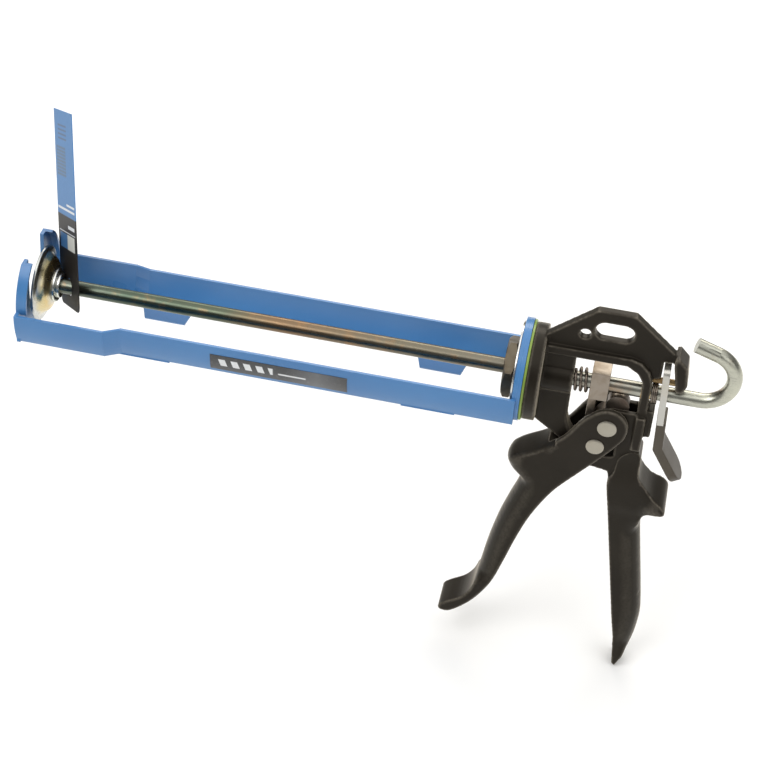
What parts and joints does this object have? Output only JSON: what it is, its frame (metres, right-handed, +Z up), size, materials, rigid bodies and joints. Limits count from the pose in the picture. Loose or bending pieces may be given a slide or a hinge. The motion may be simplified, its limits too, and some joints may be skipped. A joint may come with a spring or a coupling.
{
  "type": "caulking gun",
  "caption": "Open-carriage caulking gun: turning cradle for a cartridge, hooked push rod with plunger, sprung trigger drive, pistol grip and thumb release.",
  "frame": {"origin": "on the push rod's axis, at the inner face of the front plate, where the cartridge's front end rests", "axes": "+X along the push rod towards its hook, +Z up, away from the grip, +Y to the left of a user who looks along -X"},
  "size_m": [0.3761, 0.0843, 0.2795],
  "materials": {
    "blue_paint": "gloss powder coat",
    "black_cast": "satin black paint on a cast body",
    "zinc_steel": "bright zinc plate with a faint iridescent tint",
    "plain_steel": "plain steel, lightly oiled",
    "black_steel": "blackened steel",
    "bronze": "sintered bronze",
    "green_washer": "smooth low-friction plastic",
    "label_film": "printed film",
    "card": "coated card",
    "black_plastic": "moulded plastic"
  },
  "bodies": {
    "body": {"body_casting": "black_cast", "front_bush": "bronze", "rear_bush": "bronze", "hex_nut": "plain_steel", "retaining_washer": "zinc_steel", "swivel_washer": "green_washer", "trigger_pivot_pin": "zinc_steel", "guide_pin": "bronze", "main_spring": "plain_steel", "brake_spring": "plain_steel"},
    "carriage": {"carriage_frame": "blue_paint", "rear_ring_plate": "blue_paint", "rail_label": "label_film"},
    "tag": {"hang_tag": "card"},
    "plunger": {"plunger_disc": "zinc_steel", "backing_washer": "zinc_steel"},
    "push_rod": {"rod": "zinc_steel", "rod_collar": "zinc_steel", "plunger_nut": "zinc_steel"},
    "trigger_lever": {"trigger": "black_cast", "trigger_pusher": "black_steel", "pusher_rivet": "zinc_steel"},
    "drive": {"drive_block": "plain_steel"},
    "release": {"brake_plate": "zinc_steel", "release_paddle": "black_plastic"}
  },
  "joints": [
    {"name": "carriage_turn", "type": "hinge", "parent": "body", "child": "carriage", "pos_m": [0.2595, 0, 0], "axis": [1, 0, 0], "continuous": true},
    {"name": "rod_slide", "type": "slide", "parent": "body", "child": "plunger", "axis": [1, 0, 0], "range_m": [0, 0.215]},
    {"name": "rod_turn", "type": "hinge", "parent": "plunger", "child": "push_rod", "pos_m": [0.012, 0, 0], "axis": [1, 0, 0], "continuous": true},
    {"name": "tag_slide", "type": "slide", "parent": "carriage", "child": "tag", "axis": [1, 0, 0], "range_m": [0, 0.216]},
    {"name": "trigger_pull", "type": "hinge", "parent": "body", "child": "trigger_lever", "pos_m": [0.3071, 0, -0.021], "axis": [0, -1, 0], "range_deg": [0, 24], "stiffness_Nm_per_rad": 0.8, "springref_deg": -11.46},
    {"name": "drive_slide", "type": "slide", "parent": "body", "child": "drive", "axis": [-1, 0, 0], "range_m": [0, 0.0046], "deforming": ["main_spring"]},
    {"name": "release_press", "type": "hinge", "parent": "body", "child": "release", "pos_m": [0.3298, 0, 0.02], "axis": [0, 1, 0], "range_deg": [0, 2.7], "stiffness_Nm_per_rad": 2, "springref_deg": -5.73, "deforming": ["brake_spring"]}
  ],
  "couplings": [
    {"joint": "drive_slide", "follows": "trigger_pull", "m_per_rad": 0.0106},
    {"joint": "tag_slide", "follows": "rod_slide", "ratio": 1}
  ]
}
